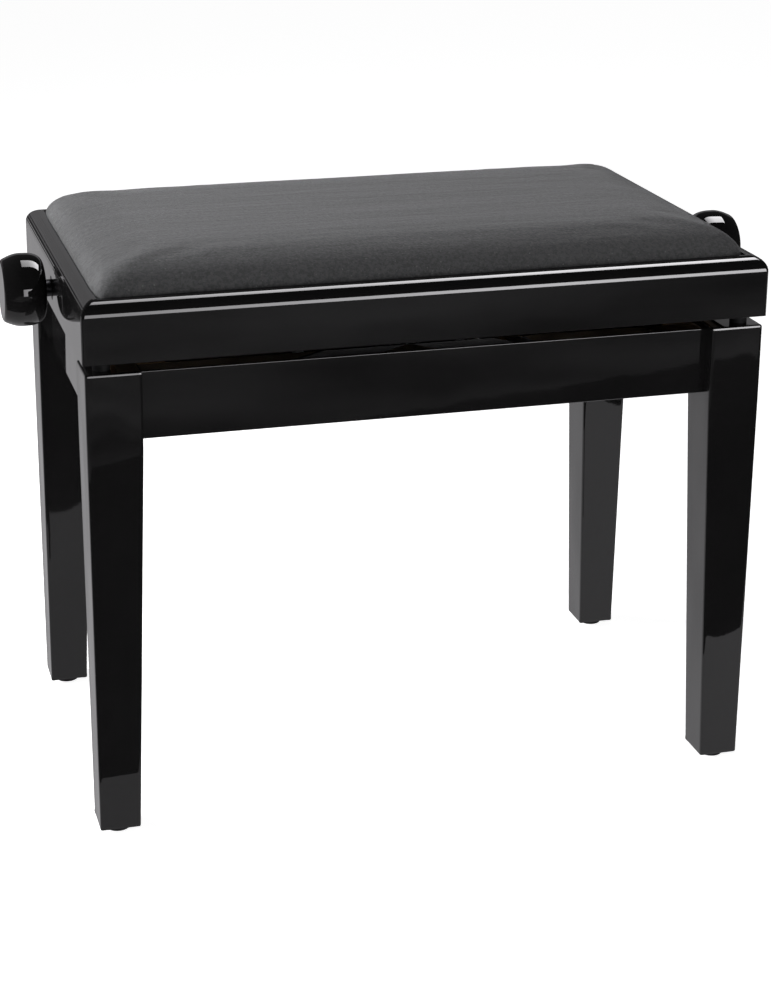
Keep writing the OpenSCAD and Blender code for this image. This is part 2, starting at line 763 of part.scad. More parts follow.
leg_front_left();
leg_front_right();
leg_back_left();
leg_back_right();
apron_front();
apron_back();
apron_left();
apron_right();
corner_blocks();
base_panel();
panel_screws();
leg_bolts();
leg_washers();
leg_nuts();
glides();
glide_nails();
stop_pads();
lower_channel_front();
lower_channel_back();
lower_channel_screws();
lower_pivot_pins();
outer_arm_front();
outer_arm_back();
centre_pins();
outer_tie_rod();
inner_arm_front();
inner_arm_back();
inner_tie_rod();
lower_roller_pins();
lower_rollers();
crossbars();
spindle_nut();
upper_rollers();
upper_channel_front();
upper_channel_back();
upper_channel_screws();
upper_pivot_pins();
seat_rail_front();
seat_rail_back();
seat_rail_left();
seat_rail_right();
cleat_front();
cleat_back();
cleat_left();
cleat_right();
cleat_screws();
seat_board();
board_screws();
foam_pad();
velvet_cover();
spindle_bushes();
spindle();
thrust_collars();
collar_screws();
knob_left();
knob_right();
knob_screws();
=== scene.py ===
"""A lacquered piano bench with an adjustable velvet seat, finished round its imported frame.

Run as a script it builds the show surfaces, gives every part its finish, and sets a plain stage.
"""

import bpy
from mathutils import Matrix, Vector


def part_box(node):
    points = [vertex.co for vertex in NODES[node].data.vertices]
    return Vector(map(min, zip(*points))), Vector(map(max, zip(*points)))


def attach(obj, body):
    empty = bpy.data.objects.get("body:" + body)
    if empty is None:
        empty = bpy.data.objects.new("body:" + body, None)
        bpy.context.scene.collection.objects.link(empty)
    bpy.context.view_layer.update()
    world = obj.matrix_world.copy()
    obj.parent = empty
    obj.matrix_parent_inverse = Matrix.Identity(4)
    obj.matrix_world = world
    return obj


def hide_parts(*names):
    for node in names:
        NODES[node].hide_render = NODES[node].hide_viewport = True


bl_info = {
    "name": "Piano Bench",
    "version": (1, 0, 0),
    "blender": (4, 5, 0),
    "location": "View3D > Sidebar > Piano Bench",
    "description": "Builds the show surfaces and finishes of an adjustable piano bench",
    "category": "Add Mesh",
}

import math

import bmesh
import bpy
import numpy as np
from mathutils import Quaternion, Vector

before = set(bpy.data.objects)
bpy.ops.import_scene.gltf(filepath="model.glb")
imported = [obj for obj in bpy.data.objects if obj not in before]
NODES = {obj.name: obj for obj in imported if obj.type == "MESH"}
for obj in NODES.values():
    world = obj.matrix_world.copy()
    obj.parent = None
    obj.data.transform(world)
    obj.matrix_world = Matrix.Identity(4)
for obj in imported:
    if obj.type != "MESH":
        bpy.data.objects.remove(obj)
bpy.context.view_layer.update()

TOUCH = 0.00001
SMOOTH_BELOW = math.radians(35.0)
VOXEL = 0.0045
SETTLED_FRAME = 20
FLOOR_GLOW_LIE = math.radians(-13.2)


# ---------- sizes and colours a user can change ----------


def length(name, description, default):
    """A size in metres, as a property of the scene."""
    return bpy.props.FloatProperty(
        name=name, description=description, default=default, min=0.0, unit="LENGTH", precision=4
    )


def colour(name, description, default):
    """A colour, as a property of the scene."""
    return bpy.props.FloatVectorProperty(
        name=name, description=description, default=default, min=0.0, max=1.0, size=3, subtype="COLOR"
    )


class BenchSizes(bpy.types.PropertyGroup):
    """Sizes of the show surfaces that the frame leaves to the finisher."""

    leg_edge: length("Leg edge", "How far the soft edges of the legs run in from their corners", 0.0045)
    leg_knee: length("Leg knee", "How far the bend above each leg's taper is rounded", 0.010)
    apron_edge: length("Apron edge", "Radius of the eased edges of the aprons", 0.0010)
    tenon_shoulder: length("Tenon shoulder", "Width of the shoulder round each apron's tenon", 0.004)
    rail_edge: length("Seat frame edge", "Radius of the seat frame's upright corners", 0.0028)
    rail_foot: length("Seat frame foot", "Radius of the seat frame's eased lower edge", 0.0008)
    roundover: length("Roundover", "Radius of the seat frame's rounded top edge", 0.012)
    knob_edge: length("Knob edge", "Radius of the rim round a knob's flat end", 0.0020)
    knob_neck: length("Knob neck", "Radius of a knob where it meets the spindle", 0.016)
    knob_end: length("Knob end", "Radius of a knob's flat outer end", 0.025)
    knob_belly: bpy.props.FloatProperty(
        name="Knob belly", description="Share of a knob's length between its widest ring and its flat end",
        default=0.46, subtype="FACTOR",
    )
    knob_fullness: bpy.props.FloatProperty(
        name="Knob fullness", description="Lower for a squarer shoulder, 1 for an ellipse", default=0.7
    )
    bush_hole: length("Bush hole", "Radius of the hole for each of the spindle's bushes", 0.01005)
    velvet_gap: length("Velvet gap", "Room between the cushion and the frame's inner edge", 0.0005)
    cushion_corner: length("Cushion corner", "Radius of the cushion's corners, seen from above", 0.011)
    crown: length("Crown", "Height of the cushion's middle over the seat frame", 0.0250)
    swell: length("Swell", "Most that the stuffing may push the velvet out", 0.0010)


class BenchColours(bpy.types.PropertyGroup):
    """Colours of the bench's finishes."""

    lacquer: colour("Lacquer", "Polished lacquer on the wood and knobs", (0.0052, 0.0050, 0.0052))
    velvet: colour("Velvet", "Pile of the velvet", (0.088, 0.0885, 0.0905))
    # The beech is darker than bare beech: painted shade, so that the cleats and corner blocks seen through
    # the narrow gap under the seat frame read as dark as the shade in there.
    beech: colour("Beech", "Stained beech of the cleats and corner blocks", (0.20, 0.125, 0.070))
    plywood: colour("Plywood", "Birch plywood of the seat board", (0.66, 0.50, 0.32))
    steel: colour("Steel", "Zinc plated steel of the pins, nuts and screws", (0.52, 0.53, 0.55))
    paint: colour("Black paint", "Powder coat of the lift, and paint of its panel", (0.018, 0.018, 0.019))
    dark_steel: colour("Dark steel", "Blackened spindle and screws", (0.045, 0.045, 0.048))
    brass: colour("Brass", "Turned brass of the spindle nut", (0.60, 0.42, 0.16))
    nylon: colour("Nylon", "Natural nylon of the bushes and rollers", (0.72, 0.70, 0.64))
    rubber: colour("Rubber", "Hard rubber of the glides and stop pads", (0.009, 0.009, 0.0095))
    foam: colour("Foam", "Upholstery foam under the velvet", (0.70, 0.63, 0.40))
    floor: colour("Floor", "Plain pale floor", (0.90, 0.90, 0.90))


class BenchStudio(bpy.types.PropertyGroup):
    """The camera and the lights."""

    lens: bpy.props.FloatProperty(name="Lens", description="Focal length in millimetres", default=79.11)
    place: bpy.props.FloatVectorProperty(
        name="Camera place", description="Where the camera stands", default=(-0.5002, -1.7379, 0.8884),
        size=3, subtype="TRANSLATION", unit="LENGTH",
    )
    turn: bpy.props.FloatProperty(
        name="Camera turn", description="Turn of the camera to the right", default=0.25425, subtype="ANGLE"
    )
    dip: bpy.props.FloatProperty(
        name="Camera dip", description="How far the camera looks down", default=0.29397, subtype="ANGLE"
    )
    slide: bpy.props.FloatVectorProperty(
        name="Lens shift", description="Shift of the picture, right and up", default=(0.0605, -0.1486),
        size=2,
    )


# ---------- making finishes ----------


class Wire:
    """One output of a finish's nodes. Arithmetic written with it becomes Math nodes."""

    def __init__(self, finish, socket):
        self.finish, self.socket = finish, socket

    def worked(self, operation, first, second):
        return self.finish.node("ShaderNodeMath", {"operation": operation}, {0: first, 1: second})

    def __add__(self, other):
        return self.worked("ADD", self, other)

    __radd__ = __add__

    def __mul__(self, other):
        return self.worked("MULTIPLY", self, other)

    __rmul__ = __mul__

    def __sub__(self, other):
        return self.worked("SUBTRACT", self, other)

    def __rsub__(self, other):
        return self.worked("SUBTRACT", other, self)


class Finish:
    """A material while it is being made: its nodes, and the one surface shader that they end in."""

    def __init__(self, name):
        self.material = bpy.data.materials.new(name)
        self.material.use_nodes = True
        self.tree = self.material.node_tree
        self.tree.nodes.clear()
        self.spot = self.node("ShaderNodeTexCoord", output="Object")

    def node(self, kind, settings=None, inputs=None, output=0):
        """Adds a node with its settings and its inputs' values or links, and gives one of its outputs."""
        made = self.tree.nodes.new(kind)
        for key, value in (settings or {}).items():
            setattr(made, key, value)
        for key, value in (inputs or {}).items():
            if isinstance(value, Wire):
                self.tree.links.new(value.socket, made.inputs[key])
            else:
                made.inputs[key].default_value = value
        return Wire(self, made.outputs[output]) if len(made.outputs) else made

    def noise(self, scale, stretch=(1, 1, 1), detail=2.0, roughness=0.5):
        """Cloudy noise, with its size in repeats per metre, drawn out along some axes."""
        spot = self.node("ShaderNodeMapping", inputs={"Vector": self.spot, "Scale": stretch})
        inputs = {"Vector": spot, "Scale": scale, "Detail": detail, "Roughness": roughness}
        return self.node("ShaderNodeTexNoise", inputs=inputs)

    def ramp(self, value, low, high):
        """Spreads the part of a value between low and high over the whole of 0 to 1."""
        return self.node("ShaderNodeMapRange", inputs={"Value": value, "From Min": low, "From Max": high})

    def blend(self, share, first, second):
        """A colour between two others."""
        inputs = {0: share}
        for index, tint in ((6, first), (7, second)):
            inputs[index] = tint if isinstance(tint, Wire) else (*tint, 1.0)
        return self.node("ShaderNodeMix", {"data_type": "RGBA"}, inputs, output=2)

    def bump(self, height, depth, under=None):
        """A bump of that depth in metres, over another one if it is given."""
        inputs = {"Height": height, "Distance": depth, "Strength": 1.0}
        if under is not None:
            inputs["Normal"] = under
        return self.node("ShaderNodeBump", inputs=inputs)

    def done(self, **inputs):
        """Joins everything to the surface shader. Names are its sockets, with _ for a space."""
        sockets = {key.replace("_", " "): value for key, value in inputs.items()}
        shader = self.node("ShaderNodeBsdfPrincipled", inputs=sockets)
        self.node("ShaderNodeOutputMaterial", inputs={"Surface": shader})
        return self.material


def shaded(tint, amount):
    """The same colour, darker or lighter by a factor."""
    return tuple(min(1.0, c * amount) for c in tint)


def lacquer_finish(name, tint, wave_depth):
    """Black lacquer rubbed to a mirror: slow waves from the wood below it, and a faint polishing haze."""
    f = Finish(name)
    waves = f.noise(17, (1, 1, 0.55), detail=1.0)
    peel = f.noise(420, detail=1.0)
    haze = f.ramp(f.noise(9, detail=4.0, roughness=0.6), 0.42, 0.75)
    swirls = f.noise(60, (1, 1, 9), detail=3.0)
    rough = 0.018 + haze * 0.020 + swirls * 0.006
    normal = f.bump(peel, 0.0000035, f.bump(waves, wave_depth))
    return f.done(Base_Color=f.blend(haze, tint, shaded(tint, 1.5)), Roughness=rough, IOR=1.5, Normal=normal)


def velvet_finish(tint):
    """Short-piled velvet: the nap is brushed along the bench, with finer grain where the pile parts."""
    f = Finish("velvet")
    brushed = f.ramp(f.noise(9, (0.35, 2.6, 1.5), detail=5.0, roughness=0.62), 0.32, 0.68)
    patches = f.ramp(f.noise(5, (0.8, 1.5, 1.0), detail=3.0), 0.32, 0.68)
    grain = f.noise(900, (0.7, 1.0, 1.0), detail=2.0)
    speckle = f.ramp(f.noise(330, detail=3.0, roughness=0.75), 0.44, 0.58)
    lint = f.ramp(f.noise(560, detail=1.0), 0.70, 0.76)
    nap = brushed * 0.5 + patches * 0.5
    pile = f.blend(nap, shaded(tint, 0.80), shaded(tint, 1.20))
    pile = f.blend(speckle * 0.8, pile, shaded(tint, 0.42))
    pile = f.blend(grain * 0.5, pile, shaded(tint, 1.7))
    pile = f.blend(lint * 0.60, pile, shaded(tint, 2.8))
    normal = f.bump(grain, 0.00055, f.bump(brushed, 0.0009))
    return f.done(
        Base_Color=pile, Roughness=0.80 + nap * 0.10, Specular_IOR_Level=0.2, Sheen_Weight=0.28,
        Sheen_Roughness=0.42, Sheen_Tint=(0.80, 0.80, 0.82, 1.0), Normal=normal,
    )


def drawn_out(along, share):
    """How far noise is stretched along one axis, as the scale of each axis."""
    return tuple(share if axis == along else 1.0 for axis in "xyz")


def wood_finish(name, tint, along):
    """Bare planed wood: growth bands and pores drawn out along the grain."""
    f = Finish(name)
    bands = f.ramp(f.noise(70, drawn_out(along, 0.10), detail=3.0, roughness=0.55), 0.32, 0.68)
    pores = f.ramp(f.noise(900, drawn_out(along, 0.06)), 0.60, 0.72)
    flecks = f.ramp(f.noise(260, drawn_out(along, 0.3)), 0.62, 0.70)
    wood = f.blend(bands, shaded(tint, 0.82), shaded(tint, 1.08))
    wood = f.blend(flecks * 0.35, wood, shaded(tint, 0.62))
    wood = f.blend(pores * 0.5, wood, shaded(tint, 0.45))
    return f.done(
        Base_Color=wood, Roughness=0.55 + bands * 0.12, Specular_IOR_Level=0.35,
        Normal=f.bump(pores, -0.00012, f.bump(bands, 0.00008)),
    )


def plywood_finish(tint):
    """Birch plywood: plain veneer faces, and light and dark plies where an edge is cut."""
    f = Finish("plywood")
    height = f.node("ShaderNodeSeparateXYZ", inputs={0: f.spot}, output=2)
    ply = 0.0015
    plies = height.worked("PINGPONG", height, ply) * (0.999 / ply)
    side = f.node("ShaderNodeNewGeometry", output="Normal")
    upright = f.node("ShaderNodeSeparateXYZ", inputs={0: side}, output=2)
    edge = 1.0 - upright.worked("ABSOLUTE", upright, 0.0)
    bands = f.ramp(f.noise(40, (0.08, 1.0, 1.0), detail=4.0), 0.3, 0.7)
    veneer = f.blend(bands, shaded(tint, 0.88), shaded(tint, 1.06))
    cut = f.blend(f.ramp(plies, 0.35, 0.65), shaded(tint, 0.5), shaded(tint, 1.0))
    return f.done(
        Base_Color=f.blend(edge, veneer, cut), Roughness=0.6 + bands * 0.1, Normal=f.bump(bands, 0.00008)
    )


def metal_finish(name, tint, rough, streak, along="x"):
    """Plated or turned metal with fine drawn lines and a little clouding."""
    f = Finish(name)
    drawn = f.noise(streak, drawn_out(along, 0.03), detail=3.0)
    cloud = f.ramp(f.noise(45, detail=4.0), 0.35, 0.70)
    shade = f.blend(cloud, shaded(tint, 0.86), shaded(tint, 1.06))
    return f.done(
        Base_Color=shade, Metallic=1.0, Roughness=rough + drawn * 0.12 + cloud * 0.06,
        Normal=f.bump(drawn, 0.00003),
    )


def moulded_finish(name, tint, rough, grain, depth, shift, shine=0.5):
    """Moulded rubber or plastic, or foam: an even colour with a fine skin."""
    f = Finish(name)
    skin = f.noise(grain, detail=2.0)
    marks = f.ramp(f.noise(60, detail=4.0), 0.40, 0.75)
    return f.done(
        Base_Color=f.blend(marks, tint, shaded(tint, shift)), Roughness=rough + marks * 0.12,
        Specular_IOR_Level=shine, Normal=f.bump(skin, depth),
    )


MADE = {}


def finishes(colours):
    """Every finish of the bench by its slot, made the first time that it is asked for."""
    if "black_lacquer" not in bpy.data.materials or not MADE:
        lacquer, rubber, paint = tuple(colours.lacquer), tuple(colours.rubber), tuple(colours.paint)
        steel, dark_steel = tuple(colours.steel), tuple(colours.dark_steel)
        MADE.update({
            "black_lacquer": lacquer_finish("black_lacquer", lacquer, 0.00022),
            "leg_lacquer": lacquer_finish("leg_lacquer", lacquer, 0.00130),
            "velvet": velvet_finish(tuple(colours.velvet)),
            "beech": wood_finish("beech", tuple(colours.beech), "x"),
            "plywood": plywood_finish(tuple(colours.plywood)),
            "black_rubber": moulded_finish("black_rubber", rubber, 0.62, 900, 0.00010, 1.8, 0.10),
            "foam": moulded_finish("foam", tuple(colours.foam), 0.85, 700, 0.0004, 0.85),
            "nylon": moulded_finish("nylon", tuple(colours.nylon), 0.38, 500, 0.00004, 0.92),
            "brass": metal_finish("brass", tuple(colours.brass), 0.22, 900),
            "black_nylon": moulded_finish("black_nylon", rubber, 0.36, 500, 0.00004, 1.5),
            "black_screws": metal_finish("black_screws", dark_steel, 0.38, 900, "z"),
            "spindle_steel": metal_finish("spindle_steel", dark_steel, 0.26, 1200, "y"),
            "channel_paint": moulded_finish("channel_paint", paint, 0.42, 1600, 0.00003, 1.7),
            "arm_paint": moulded_finish("arm_paint", shaded(paint, 1.1), 0.40, 1700, 0.00003, 1.7),
            "black_board": wood_finish("black_board", paint, "x"),
            "screw_steel": metal_finish("screw_steel", shaded(steel, 0.90), 0.26, 1100, "z"),
            "pin_steel": metal_finish("pin_steel", shaded(steel, 0.84), 0.20, 1400, "y"),
        })
    return MADE


def put_on(piece, slot, context, finish=None):
    """Gives a finished piece the finish of that slot, or its own version of it."""
    piece.data.materials.clear()
    piece.data.materials.append(finishes(context.scene.bench_colours)[finish or slot])


# ---------- shaping ----------


def rest():
    """Leaves edit mode and clears the selection."""
    if bpy.context.object and bpy.context.object.mode != "OBJECT":
        bpy.ops.object.mode_set(mode="OBJECT")
    bpy.ops.object.select_all(action="DESELECT")


def start(name, add, scale=(1, 1, 1), **settings):
    """Adds a primitive, alone in the selection, with its place in its mesh, and opens it in edit mode."""
    rest()
    add(**settings)
    piece = bpy.context.object
    piece.name = piece.data.name = name
    piece.scale = scale
    bpy.ops.object.transform_apply(location=True, rotation=True, scale=True)
    bpy.ops.object.mode_set(mode="EDIT")
    return piece


def start_block(name, low, high):
    """A block between two corners, open in edit mode."""
    low, high = Vector(low), Vector(high)
    place, scale = (low + high) / 2, tuple(high - low)
    return start(name, bpy.ops.mesh.primitive_cube_add, size=1, location=place, scale=scale)


def pick(piece, kind, wanted):
    """Selects the edges or faces of the open piece that pass a test, and nothing else."""
    bpy.ops.mesh.select_all(action="DESELECT")
    bpy.ops.mesh.select_mode(type={"edges": "EDGE", "faces": "FACE"}[kind])
    mesh = bmesh.from_edit_mesh(piece.data)
    picked = [part for part in getattr(mesh, kind) if wanted(part)]
    if not picked:
        raise RuntimeError(f"nothing to select on {piece.name}")
    for part in picked:
        part.select_set(True)
    mesh.select_flush_mode()
    bmesh.update_edit_mesh(piece.data)


def middle(edge):
    """The middle of an edge."""
    return (edge.verts[0].co + edge.verts[1].co) / 2


def run(edge):
    """How far an edge runs along each axis."""
    return Vector([abs(reach) for reach in edge.verts[0].co - edge.verts[1].co])


def ease(piece, wanted, radius, steps=3, fullness=0.5):
    """Rounds the edges that pass a test to a circle's arc or, with more fullness, to a tighter corner."""
    pick(piece, "edges", wanted)
    bpy.ops.mesh.bevel(offset=radius, segments=steps, profile=fullness, affect="EDGES")


def alone(piece):
    """Leaves edit mode, and selects one piece and nothing else."""
    rest()
    piece.select_set(True)
    bpy.context.view_layer.objects.active = piece


def close(piece, body, slot, stands_for, context, finish=None):
    """Merges a piece, turns its faces out, smooths its shading, and puts on its finish and its body."""
    alone(piece)
    bpy.ops.object.mode_set(mode="EDIT")
    bpy.ops.mesh.select_all(action="SELECT")
    bpy.ops.mesh.remove_doubles(threshold=0.000002)
    bpy.ops.mesh.normals_make_consistent(inside=False)
    alone(piece)
    bpy.ops.object.shade_smooth_by_angle(angle=SMOOTH_BELOW)
    weight = piece.modifiers.new("flat faces stay flat", "WEIGHTED_NORMAL")
    weight.keep_sharp = True
    weight.weight = 100
    bpy.ops.object.modifier_apply(modifier=weight.name)
    put_on(piece, slot, context, finish)
    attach(piece, body)
    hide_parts(stands_for)
    rest()


def twin(piece, name):
    """A copy of a piece with a mesh of its own, alone in the selection."""
    alone(piece)
    bpy.ops.object.duplicate()
    copy = bpy.context.object
    copy.name = copy.data.name = name
    return copy


def mirrored(piece, name, sides):
    """A mirror image of a piece, with its place in its mesh."""
    copy = twin(piece, name)
    copy.scale = sides
    bpy.ops.object.transform_apply(location=False, rotation=False, scale=True)
    return copy


# ---------- the pieces ----------


class BENCH_OT_legs(bpy.types.Operator):
    """Four square legs that taper below the aprons"""

    bl_idname = "bench.legs"
    bl_label = "Legs"

    def execute(self, context):
        sizes = context.scene.bench_sizes
        low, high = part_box("leg_front_left")
        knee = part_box("apron_front")[0].z
        foot = [v.co for v in NODES["leg_front_left"].data.vertices if v.co.z < low.z + 0.0005]
        foot_low = Vector((min(c.x for c in foot), min(c.y for c in foot), low.z))
        foot_high = Vector((max(c.x for c in foot), max(c.y for c in foot), low.z))
        leg = start_block("leg_front_left_show", (low.x, low.y, knee), high)
        pick(leg, "faces", lambda face: face.normal.z < -0.9)
        bpy.ops.mesh.extrude_region_move(TRANSFORM_OT_translate={"value": (0, 0, low.z - knee)})
        size, foot_size = high - low, foot_high - foot_low
        bpy.ops.transform.resize(value=(foot_size.x / size.x, foot_size.y / size.y, 1))
        shift = (foot_low + foot_high) / 2 - (low + high) / 2
        bpy.ops.transform.translate(value=(shift.x, shift.y, 0))

        def at_knee(edge):
            return run(edge).z < TOUCH and abs(middle(edge).z - knee) < 10 * TOUCH

        ease(leg, at_knee, sizes.leg_knee)
        ease(leg, lambda edge: edge.calc_face_angle(0.0) > 1.0, sizes.leg_edge, 8, 0.84)
        rest()
        names = {"leg_front_left": (1, 1, 1), "leg_front_right": (-1, 1, 1),
                 "leg_back_left": (1, -1, 1), "leg_back_right": (-1, -1, 1)}
        for name, sides in names.items():
            piece = leg if name == "leg_front_left" else mirrored(leg, name + "_show", sides)
            close(piece, "base", "black_lacquer", name, context, "leg_lacquer")
        return {"FINISHED"}


class BENCH_OT_aprons(bpy.types.Operator):
    """Four aprons, let into the legs by their tenons"""

    bl_idname = "bench.aprons"
    bl_label = "Aprons"

    def execute(self, context):
        sizes = context.scene.bench_sizes
        leg_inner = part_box("leg_front_left")[1]
        twins = {"apron_front": ("apron_back", (1, -1, 1)), "apron_left": ("apron_right", (-1, 1, 1))}
        for name, (other, sides) in twins.items():
            low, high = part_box(name)
            along = 0 if name == "apron_front" else 1
            tenon = (leg_inner - low)[along]
            body_low, body_high = low.copy(), high.copy()
            body_low[along], body_high[along] = low[along] + tenon, high[along] - tenon
            piece = start_block(name + "_show", body_low, body_high)
            ease(piece, lambda edge: run(edge)[along] > 0.1, sizes.apron_edge)
            for end, reach in ((-1, body_low[along]), (1, body_high[along])):
                pick(piece, "faces", lambda face: abs(face.calc_center_median()[along] - reach) < TOUCH)
                bpy.ops.mesh.inset(thickness=sizes.tenon_shoulder, depth=0)
                move = [0, 0, 0]
                move[along] = end * tenon
                bpy.ops.mesh.extrude_region_move(TRANSFORM_OT_translate={"value": tuple(move)})
            rest()
            copy = mirrored(piece, other + "_show", sides)
            close(piece, "base", "black_lacquer", name, context)
            close(copy, "base", "black_lacquer", other, context)
        return {"FINISHED"}


class BENCH_OT_seat_frame(bpy.types.Operator):
    """Four mitred rails with a rounded top edge, made as one moulding and cut at the mitres"""

    bl_idname = "bench.seat_frame"
    bl_label = "Seat frame"

    def moulding(self, sizes, low, high):
        """The whole moulding, as rings drawn in from the outside over the top and down to the underside."""
        half = (high - low) / 2
        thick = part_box("seat_rail_front")[1].y - low.y
        lip = half.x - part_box("velvet_cover")[1].x - sizes.velvet_gap
        recess_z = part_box("seat_board")[0].z
        r = sizes.roundover
        rings = [(0.0, high.z - r)]
        for step in range(1, 11):
            a = math.radians(9 * step)
            rings.append((r * (1 - math.cos(a)), high.z - r + r * math.sin(a)))
        rings += [(lip, high.z), (lip, recess_z), (thick, recess_z), (thick, low.z)]
        piece = start(
            "seat_moulding", bpy.ops.mesh.primitive_plane_add, size=1, location=(0, 0, low.z),
            scale=(2 * half.x, 2 * half.y, 1),
        )
        bpy.ops.mesh.select_mode(type="EDGE")
        bpy.ops.mesh.select_all(action="SELECT")
        bpy.ops.mesh.delete(type="ONLY_FACE")
        bpy.ops.mesh.select_all(action="SELECT")
        inset, z = 0.0, low.z
        for new_inset, new_z in rings:
            bpy.ops.mesh.extrude_region_move(TRANSFORM_OT_translate={"value": (0, 0, new_z - z)})
            bpy.ops.transform.resize(
                value=((half.x - new_inset) / (half.x - inset), (half.y - new_inset) / (half.y - inset), 1)
            )
            inset, z = new_inset, new_z
        pick(piece, "edges", lambda edge: edge.is_boundary)
        bpy.ops.mesh.bridge_edge_loops()
        bpy.ops.mesh.select_all(action="SELECT")
        bpy.ops.mesh.normals_make_consistent(inside=False)

        def off_mitre(vert):
            return abs(abs(vert.co.x) - abs(vert.co.y) - (half.x - half.y))

        def at_corner(edge):
            spot = middle(edge)
            return (
                all(off_mitre(vert) < TOUCH for vert in edge.verts)
                and spot.z > low.z + 0.001 and half.x - abs(spot.x) < lip - 0.0002
            )

        def at_foot(edge):
            spot = middle(edge)
            outside = min(half.x - abs(spot.x), half.y - abs(spot.y)) < 0.0002
            return outside and all(abs(vert.co.z - low.z) < TOUCH for vert in edge.verts)

        ease(piece, at_corner, sizes.rail_edge, 4)
        ease(piece, at_foot, sizes.rail_foot, 2)
        rest()
        return piece, half

    def bore(self, rail, sizes):
        """The hole for the spindle's bush."""
        spindle_low, spindle_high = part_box("spindle")
        low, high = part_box(rail.name.removesuffix("_show"))
        face = low.x if low.x < 0 else high.x
        drill = start(
            "drill", bpy.ops.mesh.primitive_cylinder_add, vertices=64, radius=sizes.bush_hole, depth=0.08,
            location=(face, 0, (spindle_low.z + spindle_high.z) / 2), rotation=(0, math.pi / 2, 0),
        )
        alone(rail)
        cut = rail.modifiers.new("bush hole", "BOOLEAN")
        cut.object, cut.operation, cut.solver = drill, "DIFFERENCE", "EXACT"
        bpy.ops.object.modifier_apply(modifier=cut.name)
        bpy.data.objects.remove(drill)

    def execute(self, context):
        sizes = context.scene.bench_sizes
        low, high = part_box("seat_rail_front")
        whole, half = self.moulding(sizes, low, Vector((high.x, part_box("seat_rail_back")[1].y, high.z)))
        mitres = {
            "seat_rail_front": ((-1, -1), (1, -1)), "seat_rail_back": ((-1, 1), (1, 1)),
            "seat_rail_left": ((-1, -1), (-1, 1)), "seat_rail_right": ((1, -1), (1, 1)),
        }
        for name, corners in mitres.items():
            rail = twin(whole, name + "_show")
            bpy.ops.object.mode_set(mode="EDIT")
            centre = sum(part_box(name), Vector()) / 2
            for side_x, side_y in corners:
                point = Vector((side_x * half.x, side_y * half.y, low.z))
                normal = Vector((side_x, -side_y, 0)).normalized()
                if normal.dot(centre - point) > 0:
                    normal = -normal
                bpy.ops.mesh.select_all(action="SELECT")
                bpy.ops.mesh.bisect(
                    plane_co=tuple(point), plane_no=tuple(normal), use_fill=True, clear_outer=True
                )
            if name in ("seat_rail_left", "seat_rail_right"):
                self.bore(rail, sizes)
            close(rail, "seat", "black_lacquer", name, context)
        bpy.data.objects.remove(whole)
        return {"FINISHED"}


class BENCH_OT_knobs(bpy.types.Operator):
    """Two barrel-shaped knobs with flat outer ends"""

    bl_idname = "bench.knobs"
    bl_label = "Knobs"

    def execute(self, context):
        sizes = context.scene.bench_sizes
        low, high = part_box("knob_left")
        z = (low.z + high.z) / 2
        belly = (high.z - low.z) / 2
        reach = high.x - low.x
        widest = sizes.knob_belly * reach
        fullness = sizes.knob_fullness
        profile = []
        for step in range(1, 11):
            a = math.radians(9 * step)
            profile.append((
                (reach - widest) * (1 - math.cos(a) ** fullness),
                sizes.knob_neck + (belly - sizes.knob_neck) * math.sin(a) ** fullness,
            ))
        for step in range(1, 11):
            profile.append((
                reach - widest * (1 - step / 10),
                sizes.knob_end + (belly - sizes.knob_end) * math.cos(math.radians(9 * step)),
            ))
        knob = start(
            "knob_left_show", bpy.ops.mesh.primitive_circle_add, vertices=96, radius=sizes.knob_neck,
            fill_type="NGON", location=(high.x, 0, z), rotation=(0, -math.pi / 2, 0),
        )
        pick(knob, "faces", lambda face: True)
        away, radius = 0.0, sizes.knob_neck
        for new_away, new_radius in profile:
            bpy.ops.mesh.extrude_region_move(TRANSFORM_OT_translate={"value": (away - new_away, 0, 0)})
            bpy.ops.transform.resize(value=(1, new_radius / radius, new_radius / radius))
            away, radius = new_away, new_radius
        ease(knob, lambda edge: abs(middle(edge).x - low.x) < TOUCH, sizes.knob_edge, 5)
        rest()
        other = mirrored(knob, "knob_right_show", (-1, 1, 1))
        close(knob, "spindle_and_knobs", "black_lacquer", "knob_left", context)
        close(other, "spindle_and_knobs", "black_lacquer", "knob_right", context)
        return {"FINISHED"}


